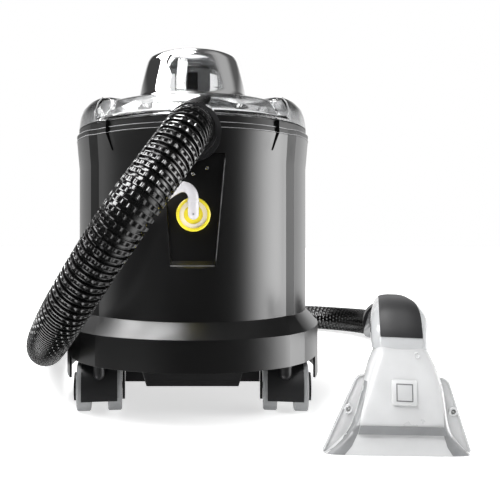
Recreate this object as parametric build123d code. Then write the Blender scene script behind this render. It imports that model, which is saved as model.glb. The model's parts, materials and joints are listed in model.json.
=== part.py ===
"""Canister carpet cleaner with its suction hose and upholstery tool, all sizes in millimetres."""
import os
from math import cos, sin, radians, tan, sqrt
from build123d import *

os.makedirs("parts", exist_ok=True)

# ---- named sizes ----
WALL = 3.0
FLOOR_GAP = 62.5
PLATE_TOP = 66.0
SKIRT_TOP = 100.0
CASE_FOOT = 116.8
SHOULDER = 304.0
CASE_TOP = 341.4
RIM_TOP = 348.0
GASKET_TOP = 356.7
LID_FOOT = 357.3
STEM_XY = 113.0
SWING_CLEAR = 57.0
INLET_Z = 335.0
DUCT_R = 24.0
FLANGE_R = 33.0
FLANGE_FRONT = -163.0
FLANGE_BACK = -149.0
POCKET_BACK = -141.5
COUPLE_X = 1.0
COUPLE_Z = 241.3
MOTOR_Y = 22.0
TANK_FLOOR = 195.0
WHEEL_R = 30.0
AXLE_BACK = 18.0
HOSE_R = 25.0
TOOL_Z = 92.0
CUFF_START = 254.0
DONE = []


def keep(name, shape):
    solids = shape.solids()
    out = solids[0] if len(solids) == 1 else Compound(children=list(solids))
    export_step(out, "parts/" + name + ".step")
    DONE.append((name, len(solids), round(sum(s.volume for s in solids) / 1000.0, 1)))


def block(x0, x1, y0, y1, z0, z1):
    b = Box(x1 - x0, y1 - y0, z1 - z0)
    return Pos((x0 + x1) / 2, (y0 + y1) / 2, (z0 + z1) / 2) * b


def post(x, y, z0, z1, r):
    return Pos(x, y, (z0 + z1) / 2) * Cylinder(r, z1 - z0)


def rod_y(x, z, y0, y1, r):
    return Pos(x, (y0 + y1) / 2, z) * Rot(90, 0, 0) * Cylinder(r, y1 - y0)


def rod_x(y, z, x0, x1, r):
    return Pos((x0 + x1) / 2, y, z) * Rot(0, 90, 0) * Cylinder(r, x1 - x0)


def spun(points):
    outline = Polyline(*[(r, z) for r, z in points], close=True)
    face = make_face(Plane.XZ * outline)
    return revolve(face, Axis.Z, 360)


def polar(r, deg):
    return (r * sin(radians(deg)), -r * cos(radians(deg)))


def plan(z, front, side, r1, r2, a1, a2):
    a = polar(r1, -a1)
    b = polar(r1, a1)
    c = polar(r2, a2)
    d = polar(r2, 180 - a2)
    e = polar(r1, 180 - a1)
    g = polar(r1, 180 + a1)
    h = polar(r2, 180 + a2)
    m = polar(r2, 360 - a2)
    lines = [
        ThreePointArc(a, (0, -front), b),
        Line(b, c),
        ThreePointArc(c, (side, 0), d),
        Line(d, e),
        ThreePointArc(e, (0, front), g),
        Line(g, h),
        ThreePointArc(h, (-side, 0), m),
        Line(m, a),
    ]
    return Pos(0, 0, z) * make_face(Curve() + lines)


def case_plan(z, d=0.0):
    return plan(z, 151.5 - d, 155.5 - d, 151.5 - d, 155.5 - d, 50, 55)


def rim_plan(z, d=0.0):
    return plan(z, 154.0 - d, 158.8 - d, 154.0 - d, 158.8 - d, 50, 55)


def skirt_plan(z, d=0.0):
    return plan(z, 171.2 - d, 171.2 - d, 178.0 - d, 178.0 - d, 40.2, 49.8)


def hull(d, low, high):
    parts = extrude(skirt_plan(low, d), SKIRT_TOP - low)
    parts = parts + loft([skirt_plan(SKIRT_TOP, d), case_plan(CASE_FOOT, d)], ruled=True)
    parts = parts + loft([case_plan(CASE_FOOT, d), case_plan(SHOULDER, d)], ruled=True)
    parts = parts + loft([case_plan(SHOULDER, d), rim_plan(CASE_TOP, d)], ruled=True)
    if high > CASE_TOP:
        parts = parts + extrude(rim_plan(CASE_TOP, d), high - CASE_TOP)
    return parts


stems = [(STEM_XY, -STEM_XY), (-STEM_XY, -STEM_XY), (STEM_XY, STEM_XY), (-STEM_XY, STEM_XY)]

# ---- casing ----
outer = hull(0.0, FLOOR_GAP, CASE_TOP)
inner = hull(WALL, FLOOR_GAP - 1.0, CASE_TOP + 1.0)
shell = outer - inner
fender = extrude(skirt_plan(35.0), FLOOR_GAP - 35.0) - extrude(skirt_plan(35.0, WALL), FLOOR_GAP - 35.0)
fender = fender & (block(120, 190, -100, 100, 30, 70) + block(-190, -120, -100, 100, 30, 70))
for sx, sy in stems:
    fender = fender - post(sx, sy, 30, FLOOR_GAP, SWING_CLEAR)
shell = shell + fender


def pocket_face(y, left, right, low_left, low_right, top, bottom):
    pts = [(left, top), (right, top), (low_right, bottom), (low_left, bottom)]
    wire = Polyline(*[(p[0], y, p[1]) for p in pts], close=True)
    return make_face(wire)


pan = loft(
    [
        pocket_face(-160.0, -38.2, 41.7, -29.2, 30.2, 316.0, 172.0),
        pocket_face(POCKET_BACK + WALL, -38.2, 41.7, -29.2, 30.2, 316.0, 172.0),
    ],
    ruled=True,
)
hollow = loft(
    [
        pocket_face(-160.0, -35.5, 39.0, -26.5, 27.5, 313.5, 171.0),
        pocket_face(POCKET_BACK, -33.5, 37.0, -24.5, 25.5, 312.0, 187.0),
    ],
    ruled=True,
)
casing = shell + (pan & outer)
casing = casing - hollow
casing = casing - rod_y(0, INLET_Z, -175, -120, DUCT_R)
casing = casing - rod_y(COUPLE_X, COUPLE_Z, -150, -130, 7.0)
screws_at = [(0.6, 288.8), (16.9, 295.8)]
for fx, fz in screws_at:
    casing = casing - rod_y(fx, fz, -150, -130, 1.5)


def crease(p, q, r):
    a = Vector(*p)
    b = Vector(*q)
    pl = Plane(origin=(a + b) / 2, z_dir=(b - a))
    return pl * Cylinder(r, (b - a).length)


for side in (1, -1):
    casing = casing - crease((side * 104.5, -112.6, 343.0), (side * 96.3, -117.6, 321.0), 1.3)
    casing = casing - crease((side * 126.5, -96.0, 336.0), (side * 121.0, -96.8, 317.8), 1.0)

# ---- rear openings ----
grille_box = block(-45, 45, 135, 170, 120, 144)
grille = shell & grille_box
for i in range(9):
    sx = -36.0 + 9.0 * i
    grille = grille - block(sx - 2.0, sx + 2.0, 135, 170, 123, 141)
casing = casing - grille_box
bezel_box = block(-32, 32, 143, 157, 150, 182)
casing = casing - block(-32, 32, 135, 170, 150, 182)
casing = casing - rod_y(-60, 165, 130, 170, 8.0)
keep("outer_casing", casing)
keep("exhaust_grille", grille)
bezel = bezel_box
for rx in (-15.0, 15.0):
    bezel = bezel - block(rx - 10, rx + 10, 140, 160, 153, 179)
    bezel = bezel - rod_x(151.0, 166.0, rx - 12.5, rx + 12.5, 2.05)
keep("switch_bezel", bezel)
for tag, rx in (("left", -15.0), ("right", 15.0)):
    rocker = block(rx - 9.4, rx + 9.4, 146.5, 158.5, 155.5, 176.5)
    rocker = rocker + rod_x(151.0, 166.0, rx - 12.0, rx + 12.0, 2.0)
    dish = Pos(rx, 186.0, 166.0) * Rot(0, 90, 0) * Cylinder(29.5, 30)
    rocker = rocker - dish
    keep("rocker_" + tag, rocker)
gland = rod_y(-60, 165, 134, 160, 8.0) + (rod_y(-60, 165, 139, 153, 12.0) - outer)
gland = gland - rod_y(-60, 165, 130, 165, 4.0)
keep("cord_gland", gland)

# ---- chassis ----
chassis = extrude(skirt_plan(FLOOR_GAP, WALL), PLATE_TOP - FLOOR_GAP)


def trough(half_low, half_high, half_long, z0, z1):
    low = Pos(0, 0, z0) * Rectangle(2 * half_low, 2 * half_long)
    high = Pos(0, 0, z1) * Rectangle(2 * half_high, 2 * half_long)
    return loft([low, high], ruled=True)


tub = trough(56, 64, 115, 34, FLOOR_GAP) + block(-88, 88, -57, 57, 25, FLOOR_GAP)
tub_in = trough(53.8, 60.2, 112, 37, FLOOR_GAP) + block(-85, 85, -54, 54, 28, FLOOR_GAP)
chassis = chassis + (tub - tub_in)
chassis = chassis - post(0, MOTOR_Y, 60, 70, 40.0)
for i in range(5):
    vx = -32.0 + 16.0 * i
    chassis = chassis - block(vx - 4, vx + 4, 110, 118, 42, 56)
for sx, sy in stems:
    chassis = chassis - post(sx, sy, 60, 70, 5.0)
keep("base_chassis", chassis)
pins = []
for sx, sy in stems:
    pins.append(post(sx, sy, 40, PLATE_TOP, 5.0) + post(sx, sy, PLATE_TOP, PLATE_TOP + 3.0, 9.0))
keep("caster_stems", Compound(children=[p.solids()[0] for p in pins]))

# ---- casters ----
hood = rod_x(AXLE_BACK, WHEEL_R, -21.5, 21.5, 31.9) - rod_x(AXLE_BACK, WHEEL_R, -22, 22, 30.4)
hood = hood + rod_x(AXLE_BACK, WHEEL_R, -9.8, 9.8, 31.9)
hood = hood - block(-30, 30, -40, 80, -10, 18)
hood = hood - block(-30, 30, 40, 80, 10, 70)
hood = hood + post(0, -7.5, 50, 61.9, 7.0) + Pos(0, -7.5, 50) * Sphere(7.0)
hood = hood - post(0, 0, 38, 70, 5.05)
hood = hood - rod_x(AXLE_BACK, WHEEL_R, -30, 30, 4.0)
axle = rod_x(AXLE_BACK, WHEEL_R, -29, 29, 4.0)
axle = axle + rod_x(AXLE_BACK, WHEEL_R, 27.9, 31.0, 17.0) + rod_x(AXLE_BACK, WHEEL_R, -31.0, -27.9, 17.0)
wheel_r = rod_x(AXLE_BACK, WHEEL_R, 10.2, 27.5, WHEEL_R)
rims = wheel_r.edges().filter_by(GeomType.CIRCLE)
wheel_r = fillet(rims, 2.5)
wheel_r = wheel_r - rod_x(AXLE_BACK, WHEEL_R, 0, 40, 4.05)
wheel_l = mirror(wheel_r, Plane.YZ)
spots = {
    "front_right": (STEM_XY, -STEM_XY, -7.0),
    "front_left": (-STEM_XY, -STEM_XY, 7.0),
    "rear_right": (STEM_XY, STEM_XY, -7.0),
    "rear_left": (-STEM_XY, STEM_XY, 7.0),
}
for tag, (cx, cy, turn) in spots.items():
    seat = Pos(cx, cy, 0) * Rot(0, 0, turn)
    keep("caster_hood_" + tag, seat * hood)
    keep("caster_axle_" + tag, seat * axle)
    keep("wheel_" + tag + "_a", seat * wheel_l)
    keep("wheel_" + tag + "_b", seat * wheel_r)

# ---- drive, pump and clean water ----
can = post(0, MOTOR_Y, PLATE_TOP, 186, 62) - post(0, MOTOR_Y, 69, 183, 59)
can = can - post(0, MOTOR_Y, 60, 72, 5.05) - post(0, MOTOR_Y, 180, 190, 15)
for i in range(6):
    can = can - post(28 * cos(radians(60 * i)), MOTOR_Y + 28 * sin(radians(60 * i)), 60, 72, 7)
keep("motor_housing", can)
keep("motor_stator", post(0, MOTOR_Y, 95, 155, 59) - post(0, MOTOR_Y, 90, 160, 34))
rotor = post(0, MOTOR_Y, 90, 158, 33.4) + post(0, MOTOR_Y, 66.5, 160, 5.0)
keep("motor_rotor", rotor)
fan = post(0, MOTOR_Y, 160, 163, 50)
for i in range(8):
    blade = Pos(30, 0, 168) * Box(34, 2, 10)
    fan = fan + Pos(0, MOTOR_Y, 0) * Rot(0, 0, 45 * i) * blade
keep("impeller", fan)
pump = block(-24, 26, -115, -75, PLATE_TOP, 111)
pump = fillet(pump.edges().filter_by(Axis.Z), 6)
clean = block(-60, 60, 88, 130, PLATE_TOP, 190) - block(-57.5, 57.5, 90.5, 127.5, 68.5, 187.5)
clean = clean - post(0, 109, 185, 195, 12)
keep("clean_tank", clean)
feed = FilletPolyline(
    (COUPLE_X, -136, COUPLE_Z),
    (COUPLE_X, -129, COUPLE_Z),
    (COUPLE_X, -129, 90),
    (COUPLE_X, -115, 90),
    radius=5.0,
)
feed_face = Plane(origin=(COUPLE_X, -136, COUPLE_Z), z_dir=(0, 1, 0)) * Circle(4.0)
keep("pump", pump + sweep(feed_face, path=feed))

# ---- recovery tank ----
bucket = post(0, 0, TANK_FLOOR, CASE_TOP, 144) & block(-150, 150, -122, 150, 190, 400)
bucket = bucket + extrude(rim_plan(CASE_TOP), RIM_TOP - CASE_TOP)
bucket = bucket - (post(0, 0, TANK_FLOOR + WALL, 360, 141) & block(-150, 150, -119, 150, 190, 400))
bucket = bucket - rod_y(0, INLET_Z, -175, -100, DUCT_R)
bucket = bucket - rod_y(0, INLET_Z, -175, FLANGE_BACK, FLANGE_R)
bucket = bucket - post(0, MOTOR_Y, 190, 200, 18)
keep("recovery_tank", bucket)
gasket = extrude(plan(RIM_TOP, 153.0, 156.0, 153.0, 156.0, 50, 55), GASKET_TOP - RIM_TOP)
gasket = gasket - post(0, 0, 340, 360, 145)
gasket = gasket - rod_y(0, INLET_Z, -175, -120, FLANGE_R)
keep("rim_gasket", gasket)
duct_out = rod_y(0, INLET_Z, FLANGE_FRONT, -40, DUCT_R) + block(-24, 24, -51, -29, 313, 442)
duct_in = rod_y(0, INLET_Z, -170, -42, DUCT_R - 2) + block(-22, 22, -49, -31, 315, 440)
duct = duct_out - duct_in - block(-22, 22, -35, -25, 414, 440)
keep("inlet_duct", duct)
pipe = post(0, MOTOR_Y, 186, 436, 18) - post(0, MOTOR_Y, 180, 433, 15.5)
pipe = pipe - block(-30, 30, MOTOR_Y - 6, MOTOR_Y + 6, 417, 431)
pipe = pipe - block(-6, 6, MOTOR_Y - 30, MOTOR_Y + 30, 417, 431)
cage = post(0, 0, 385, 388, 60) + (post(0, 0, 388, 436, 60) - post(0, 0, 387, 440, 58))
for i in range(12):
    slot = Pos(59, 0, 413) * Box(10, 14, 34)
    cage = cage - Rot(0, 0, 30 * i) * slot
cage = cage - post(0, MOTOR_Y, 380, 390, 18) - block(-24, 24, -51, -29, 380, 390) + pipe
keep("float_cage", cage)
keep("float_ring", post(0, MOTOR_Y, 388.4, 407, 30) - post(0, MOTOR_Y, 380, 410, 18.4))

# ---- lid and dome ----
lid = spun([(154.6, LID_FOOT), (152.6, 368), (146, 380.5), (130, 387), (80, 393), (78, 393),
            (78, 389.5), (129.4, 384), (144, 378), (149.6, 366.5), (151.4, LID_FOOT)])
lid = lid - rod_y(0, INLET_Z, -175, -110, 34.5)
keep("tank_lid", lid)
keep("dome_gasket", post(0, 0, 393, 394.5, 80) - post(0, 0, 390, 396, 76))
dome_line = [(79, 394.8), (76.6, 405), (72.8, 419), (68.2, 438), (64.4, 452), (61, 461), (54, 467.4),
             (42, 471.4), (24, 473.5), (0, 474)]
dome_back = [(0, 471.4), (24, 470.9), (41, 468.9), (52, 465.2), (58.4, 460), (61.9, 451.4),
             (65.7, 437.4), (70.3, 418.4), (74.1, 404.4), (76.4, 394.8)]
keep("dome", spun(dome_line + dome_back))

# ---- hose inlet ----
flange = rod_y(0, INLET_Z, FLANGE_FRONT, FLANGE_BACK, FLANGE_R) - outer
flange = flange - rod_y(0, INLET_Z, -175, -140, DUCT_R)
keep("hose_inlet_flange", flange)
heads = []
for fx, fz in screws_at:
    heads.append(rod_y(fx, fz, -143.7, POCKET_BACK, 3.6) + rod_y(fx, fz, POCKET_BACK, -136, 1.5))
keep("pocket_screws", Compound(children=[h.solids()[0] for h in heads]))
cuff = rod_y(0, INLET_Z, -185, FLANGE_FRONT, 28.0) - rod_y(0, INLET_Z, -190, -165, HOSE_R)
cuff = cuff - rod_y(0, INLET_Z, -190, -150, 21.0)
keep("machine_hose_cuff", cuff)

# ---- solution coupling ----
nose = rod_y(COUPLE_X, COUPLE_Z, -155, POCKET_BACK, 16.0) + rod_y(COUPLE_X, COUPLE_Z, -142, -136, 7.0)
nose = nose - rod_y(COUPLE_X, COUPLE_Z, -160, -146, 11.0) - rod_y(COUPLE_X, COUPLE_Z, -150, -130, 3.0)
keep("coupling_nose", nose)
seal = rod_y(COUPLE_X, COUPLE_Z, -153.5, -146, 11.0) - rod_y(COUPLE_X, COUPLE_Z, -160, -140, 4.6)
keep("coupling_seal", seal)
collar = rod_y(COUPLE_X, COUPLE_Z, -157, -146, 19.6)
collar = chamfer(collar.edges().group_by(Axis.Y)[0], 1.2)
collar = collar - rod_y(COUPLE_X, COUPLE_Z, -170, -140, 16.05)
keep("coupling_collar", collar)
elbow = rod_y(COUPLE_X, COUPLE_Z, -165, -147, 4.6) + Pos(COUPLE_X, -165, COUPLE_Z) * Sphere(7.0)
elbow = elbow + post(COUPLE_X, -165, COUPLE_Z, 258, 7.0)
keep("elbow_fitting", elbow)


def through(points):
    radii = []
    for i in range(1, len(points) - 1):
        a = Vector(*points[i]) - Vector(*points[i - 1])
        b = Vector(*points[i + 1]) - Vector(*points[i])
        half = radians(a.get_angle(b)) / 2
        radii.append(0.45 * min(a.length, b.length) / tan(half))
    print("radii", [round(r) for r in radii])
    return FilletPolyline(*points, radius=radii)


tube_pts = [
    (1.0, -165.0, 258.0),
    (1.0, -165.0, 273.0),
    (-16.0, -166.0, 281.0),
    (-38.0, -165.0, 261.0),
    (-60.0, -163.0, 241.0),
]
tube_line = through(tube_pts)
tube_dir = Vector(*tube_pts[1]) - Vector(*tube_pts[0])
tube_at = Plane(origin=tube_pts[0], z_dir=tube_dir)
tube = sweep(tube_at * Circle(6.0), path=tube_line)
keep("solution_tube", tube)

# ---- suction hose, which ends in the tool's own frame: X right, Y back, Z up ----
tool = Plane(origin=(204.3, -239.6, 0), x_dir=(0.9659, -0.2588, 0), z_dir=(0, 0, 1))
hose_end = tool.from_local_coords(Vector(0, CUFF_START, TOOL_Z))
hose_lead = tool.from_local_coords(Vector(0, CUFF_START + 100.0, TOOL_Z))
hose_pts = [
    (0.0, -165.0, 335.0),
    (0.0, -215.0, 335.0),
    (-18.0, -252.0, 303.0),
    (-73.0, -276.0, 224.0),
    (-161.0, -189.0, 99.0),
    (-237.0, 140.0, 27.0),
    (-264.0, 440.0, 26.0),
    (-120.0, 560.0, 26.0),
    (130.0, 560.0, 26.0),
    (340.0, 470.0, 27.0),
    (378.0, 300.0, 40.0),
    (360.0, 180.0, 58.0),
    (hose_lead.X, hose_lead.Y, hose_lead.Z),
    (hose_end.X, hose_end.Y, hose_end.Z),
]
hose_line = through(hose_pts)
hose_at = Plane(origin=hose_pts[0], z_dir=(0, -1, 0))
hose = sweep(hose_at * Circle(HOSE_R), path=hose_line)
hose_bore = sweep(hose_at * Circle(HOSE_R - 3.0), path=hose_line)
ideal = 3.14159265 * HOSE_R**2 * hose_line.length
print("hose length", round(hose_line.length), "volume ratio", round(hose.volume / ideal, 4))
keep("suction_hose", hose - hose_bore)

# ---- upholstery tool, in its own frame: X right, Y back, Z up ----
LEAN = 0.466
SCREW_W = 52.5
SCREW_Z = 38.5


def slab(w, depth, z, u, r):
    return Pos(0, u, z) * RectangleRounded(2 * w, 2 * depth, r)


hood_rows = [(72.5, 11, 0), (62, 11, 8), (53, 11, 17), (47.5, 11.5, 28), (41.5, 13, 48), (37, 14, 68), (25.5, 16, 100)]
body = None
core = None
for i in range(len(hood_rows) - 1):
    w0, d0, z0 = hood_rows[i]
    w1, d1, z1 = hood_rows[i + 1]
    seg = loft([slab(w0, d0, z0, LEAN * z0, 6), slab(w1, d1, z1, LEAN * z1, 6)], ruled=True)
    gap = loft([slab(w0 - 2.5, d0 - 2.5, z0, LEAN * z0, 3.5), slab(w1 - 2.5, d1 - 2.5, z1, LEAN * z1, 3.5)],
               ruled=True)
    body = seg if body is None else body + seg
    core = gap if core is None else core + gap
hood_shell = body - core


def across(points, half):
    face = make_face(Polyline(*[(0, p[0], p[1]) for p in points], close=True))
    return extrude(face, amount=half, dir=(1, 0, 0), both=True)


ahead = across([(-60, -10), (-60, 110), (LEAN * 110, 110), (-LEAN * 10, -10)], 90)
front_half = hood_shell & ahead
lip = block(-62, 62, -11, -4, 0, 6) - body
front_half = front_half + lip
wing_pts = [(-73, 0), (-73, 3), (-47, 66), (-44, 69), (-36, 71), (-30, 84), (-26, 100)]
wing_all = wing_pts + [(-p[0], p[1]) for p in reversed(wing_pts)]
plate = make_face(Polyline(*[(p[0], 0, p[1]) for p in wing_all], close=True))
plate = extrude(plate, amount=90, dir=(0, 1, 0), both=True)
near = across([(-LEAN * 10, -10), (LEAN * 110, 110), (LEAN * 110 + 3, 110), (-LEAN * 10 + 3, -10)], 90)
wings = (plate & near) - core
rear_half = (hood_shell - ahead) + wings
for s in (-1, 1):
    rear_half = rear_half - (Pos(s * SCREW_W, LEAN * SCREW_Z, SCREW_Z) * Rot(90, 0, 0) * Cylinder(2.0, 20))
keep("tool_hood_front", tool * front_half)
keep("tool_hood_rear", tool * rear_half)
caps = []
for s in (-1, 1):
    shank = Pos(s * SCREW_W, LEAN * SCREW_Z, SCREW_Z) * Rot(90, 0, 0) * Cylinder(2.0, 9)
    knob = Pos(s * SCREW_W, LEAN * SCREW_Z - 4.5, SCREW_Z) * Rot(90, 0, 0) * Cylinder(4.5, 3)
    caps.append(shank + knob)
keep("tool_screws", tool * Compound(children=[c.solids()[0] for c in caps]))

# ---- handle ----
spine = [
    (46.6, 100.0, 0.0, 25.5, 16.0, 6.0),
    (54.0, 112.0, 30.0, 27.0, 19.0, 10.0),
    (68.0, 121.0, 60.0, 30.0, 21.0, 15.0),
    (90.0, 124.0, 88.0, 29.0, 21.5, 17.0),
    (138.5, 124.0, 96.0, 22.5, 20.0, 17.0),
    (190.0, 113.0, 103.0, 19.0, 18.0, 15.0),
    (228.0, 98.0, 108.0, 19.0, 18.0, 15.0),
    (250.0, 92.0, 90.0, 22.0, 22.0, 18.0),
]


def ring(row, d):
    u, z, tilt, w, h, r = row
    normal = (0, sin(radians(tilt)), cos(radians(tilt)))
    at = Plane(origin=(0, u, z), x_dir=(1, 0, 0), z_dir=normal)
    return at * RectangleRounded(2 * (w - d), 2 * (h - d), max(r - d, 1.5))


grip = loft([ring(r, 0.0) for r in spine])
bore = loft([ring(r, 3.0) for r in spine])
grip_shell = grip - bore
valve_hole = post(0, 152, 80, 122, 6.0)
band = across([(84, 133), (138.5, 130), (190, 119), (236, 106), (236, 160), (84, 160)], 40)
cover = grip_shell & band
halves = grip_shell - band
ears = block(8, 12, 105, 119, 91, 110) + block(-12, -8, 105, 119, 91, 110)
ears = ears - bore
ears = ears - rod_x(112, 97, -20, 20, 2.5)
halves = halves + ears - valve_hole
right_half = halves & block(0, 60, 0, 300, 60, 200)
left_half = halves & block(-60, 0, 0, 300, 60, 200)
keep("handle_right", tool * right_half)
keep("handle_left", tool * left_half)
keep("grip_cover", tool * cover)
keep("trigger_pin", tool * rod_x(112, 97, -12, 12, 2.5))
lever = [(106, 97), (112, 102.5), (118, 100), (150, 85.2), (170, 82), (172, 78), (150, 79), (112, 91.5)]
trigger = across(lever, 7.5)
trigger = trigger - rod_x(112, 97, -20, 20, 2.55)
keep("trigger", tool * trigger)
valve = post(0, 152, 97, 120, 6.0) - post(0, 152, 90, 117, 2.05)
keep("spray_valve", tool * valve)
keep("valve_plunger", tool * post(0, 152, 85.5, 104, 2.0))
tool_cuff = rod_y(0, TOOL_Z, 250, 276, 28.0) - rod_y(0, TOOL_Z, CUFF_START, 280, HOSE_R)
tool_cuff = tool_cuff - rod_y(0, TOOL_Z, 240, 280, 18.0)
keep("tool_hose_cuff", tool * tool_cuff)
pad_at = Plane(origin=(0, LEAN * 62 - 14.0, 62), x_dir=(1, 0, 0), z_dir=(0, -1, LEAN))
pad = pad_at * Pos(0, 0, 0.5) * Box(24, 24, 5)
pad = pad - body
keep("tool_badge_pad", tool * pad)
jet = post(0, LEAN * 100 - 16.0 - 5.0, 88, 100, 5.0)
jet = jet - body
keep("spray_jet", tool * jet)

for row in DONE:
    print(*row)
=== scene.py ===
"""Looks of a canister carpet cleaner, its ribbed suction hose and its clear upholstery tool, in metres."""
import json
from math import cos, pi, radians, sin, sqrt

import bpy
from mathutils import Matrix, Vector
from mathutils.bvhtree import BVHTree

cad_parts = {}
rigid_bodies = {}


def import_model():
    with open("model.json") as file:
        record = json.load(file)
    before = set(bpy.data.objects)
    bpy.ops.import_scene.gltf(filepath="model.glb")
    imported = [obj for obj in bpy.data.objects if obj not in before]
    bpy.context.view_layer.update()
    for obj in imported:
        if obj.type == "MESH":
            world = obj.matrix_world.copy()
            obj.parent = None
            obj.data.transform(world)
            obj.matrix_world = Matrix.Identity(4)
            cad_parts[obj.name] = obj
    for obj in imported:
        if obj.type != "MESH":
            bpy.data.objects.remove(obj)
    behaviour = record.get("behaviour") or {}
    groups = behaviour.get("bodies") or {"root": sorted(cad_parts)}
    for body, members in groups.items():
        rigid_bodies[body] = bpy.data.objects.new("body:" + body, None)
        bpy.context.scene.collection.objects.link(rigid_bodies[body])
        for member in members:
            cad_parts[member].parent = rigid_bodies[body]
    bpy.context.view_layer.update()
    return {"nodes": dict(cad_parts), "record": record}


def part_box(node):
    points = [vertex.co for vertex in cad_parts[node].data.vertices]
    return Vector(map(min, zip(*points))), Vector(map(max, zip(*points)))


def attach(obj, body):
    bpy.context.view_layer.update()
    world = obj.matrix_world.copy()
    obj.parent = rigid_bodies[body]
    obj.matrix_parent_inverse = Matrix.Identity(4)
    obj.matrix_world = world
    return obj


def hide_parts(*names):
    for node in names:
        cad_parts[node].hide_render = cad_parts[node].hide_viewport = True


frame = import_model()
NODES = frame["nodes"]
MM = 0.001

# ---- places shared by several pieces, from the frame ----
FLANGE_LOW, FLANGE_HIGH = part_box("hose_inlet_flange")
COUPLE_Z = (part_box("coupling_collar")[0][2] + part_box("coupling_collar")[1][2]) / 2
INLET_Z = (FLANGE_LOW[2] + FLANGE_HIGH[2]) / 2
FLANGE_R = (FLANGE_HIGH[0] - FLANGE_LOW[0]) / 2


# ---- materials ----
def link(tree, a, out, b, into):
    tree.links.new(a.outputs[out], b.inputs[into])


def plastic(name, color, rough, vary=0.25, grain=700.0, bump=0.03, metal=0.0, clear=0.0, ior=1.46, coat=0.0,
            patch=9.0, tint=0.18):
    """Moulded surface: a little uneven colour and gloss, with a fine grain in the normal."""
    mat = bpy.data.materials.new(name)
    mat.use_nodes = True
    tree = mat.node_tree
    shader = tree.nodes["Principled BSDF"]
    shader.inputs["Metallic"].default_value = metal
    shader.inputs["IOR"].default_value = ior
    shader.inputs["Transmission Weight"].default_value = clear
    shader.inputs["Coat Weight"].default_value = coat
    shader.inputs["Coat Roughness"].default_value = 0.08
    place = tree.nodes.new("ShaderNodeTexCoord")
    broad = tree.nodes.new("ShaderNodeTexNoise")
    broad.inputs["Scale"].default_value = patch
    broad.inputs["Detail"].default_value = 6.0
    link(tree, place, "Object", broad, "Vector")
    ramp = tree.nodes.new("ShaderNodeValToRGB")
    low = [c * (1.0 - tint) for c in color]
    high = [min(1.0, c * (1.0 + tint)) for c in color]
    ramp.color_ramp.elements[0].position = 0.3
    ramp.color_ramp.elements[0].color = (*low, 1.0)
    ramp.color_ramp.elements[1].position = 0.7
    ramp.color_ramp.elements[1].color = (*high, 1.0)
    link(tree, broad, "Fac", ramp, "Fac")
    link(tree, ramp, "Color", shader, "Base Color")
    gloss = tree.nodes.new("ShaderNodeMapRange")
    gloss.inputs["To Min"].default_value = rough * (1.0 - vary)
    gloss.inputs["To Max"].default_value = rough * (1.0 + vary)
    link(tree, broad, "Fac", gloss, "Value")
    link(tree, gloss, "Result", shader, "Roughness")
    fine = tree.nodes.new("ShaderNodeTexNoise")
    fine.inputs["Scale"].default_value = grain
    fine.inputs["Detail"].default_value = 3.0
    link(tree, place, "Object", fine, "Vector")
    relief = tree.nodes.new("ShaderNodeBump")
    relief.inputs["Strength"].default_value = bump
    relief.inputs["Distance"].default_value = 0.0005
    link(tree, fine, "Fac", relief, "Height")
    link(tree, relief, "Normal", shader, "Normal")
    return mat


def glassy(mat, rim, start=0.62):
    """Clear moulding: its tint goes to the rim grey where the wall is seen edge-on."""
    tree = mat.node_tree
    shader = tree.nodes["Principled BSDF"]
    source = shader.inputs["Base Color"].links[0].from_socket
    edge = tree.nodes.new("ShaderNodeLayerWeight")
    edge.inputs["Blend"].default_value = 0.5
    ramp = tree.nodes.new("ShaderNodeMapRange")
    ramp.interpolation_type = "SMOOTHSTEP"
    ramp.inputs["From Min"].default_value = start
    ramp.inputs["From Max"].default_value = 1.0
    link(tree, edge, "Facing", ramp, "Value")
    mixed = tree.nodes.new("ShaderNodeMix")
    mixed.data_type = "RGBA"
    tree.links.new(ramp.outputs["Result"], mixed.inputs[0])
    tree.links.new(source, mixed.inputs[6])
    mixed.inputs[7].default_value = (rim, rim, rim * 1.02, 1.0)
    tree.links.new(mixed.outputs[2], shader.inputs["Base Color"])
    return mat


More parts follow.
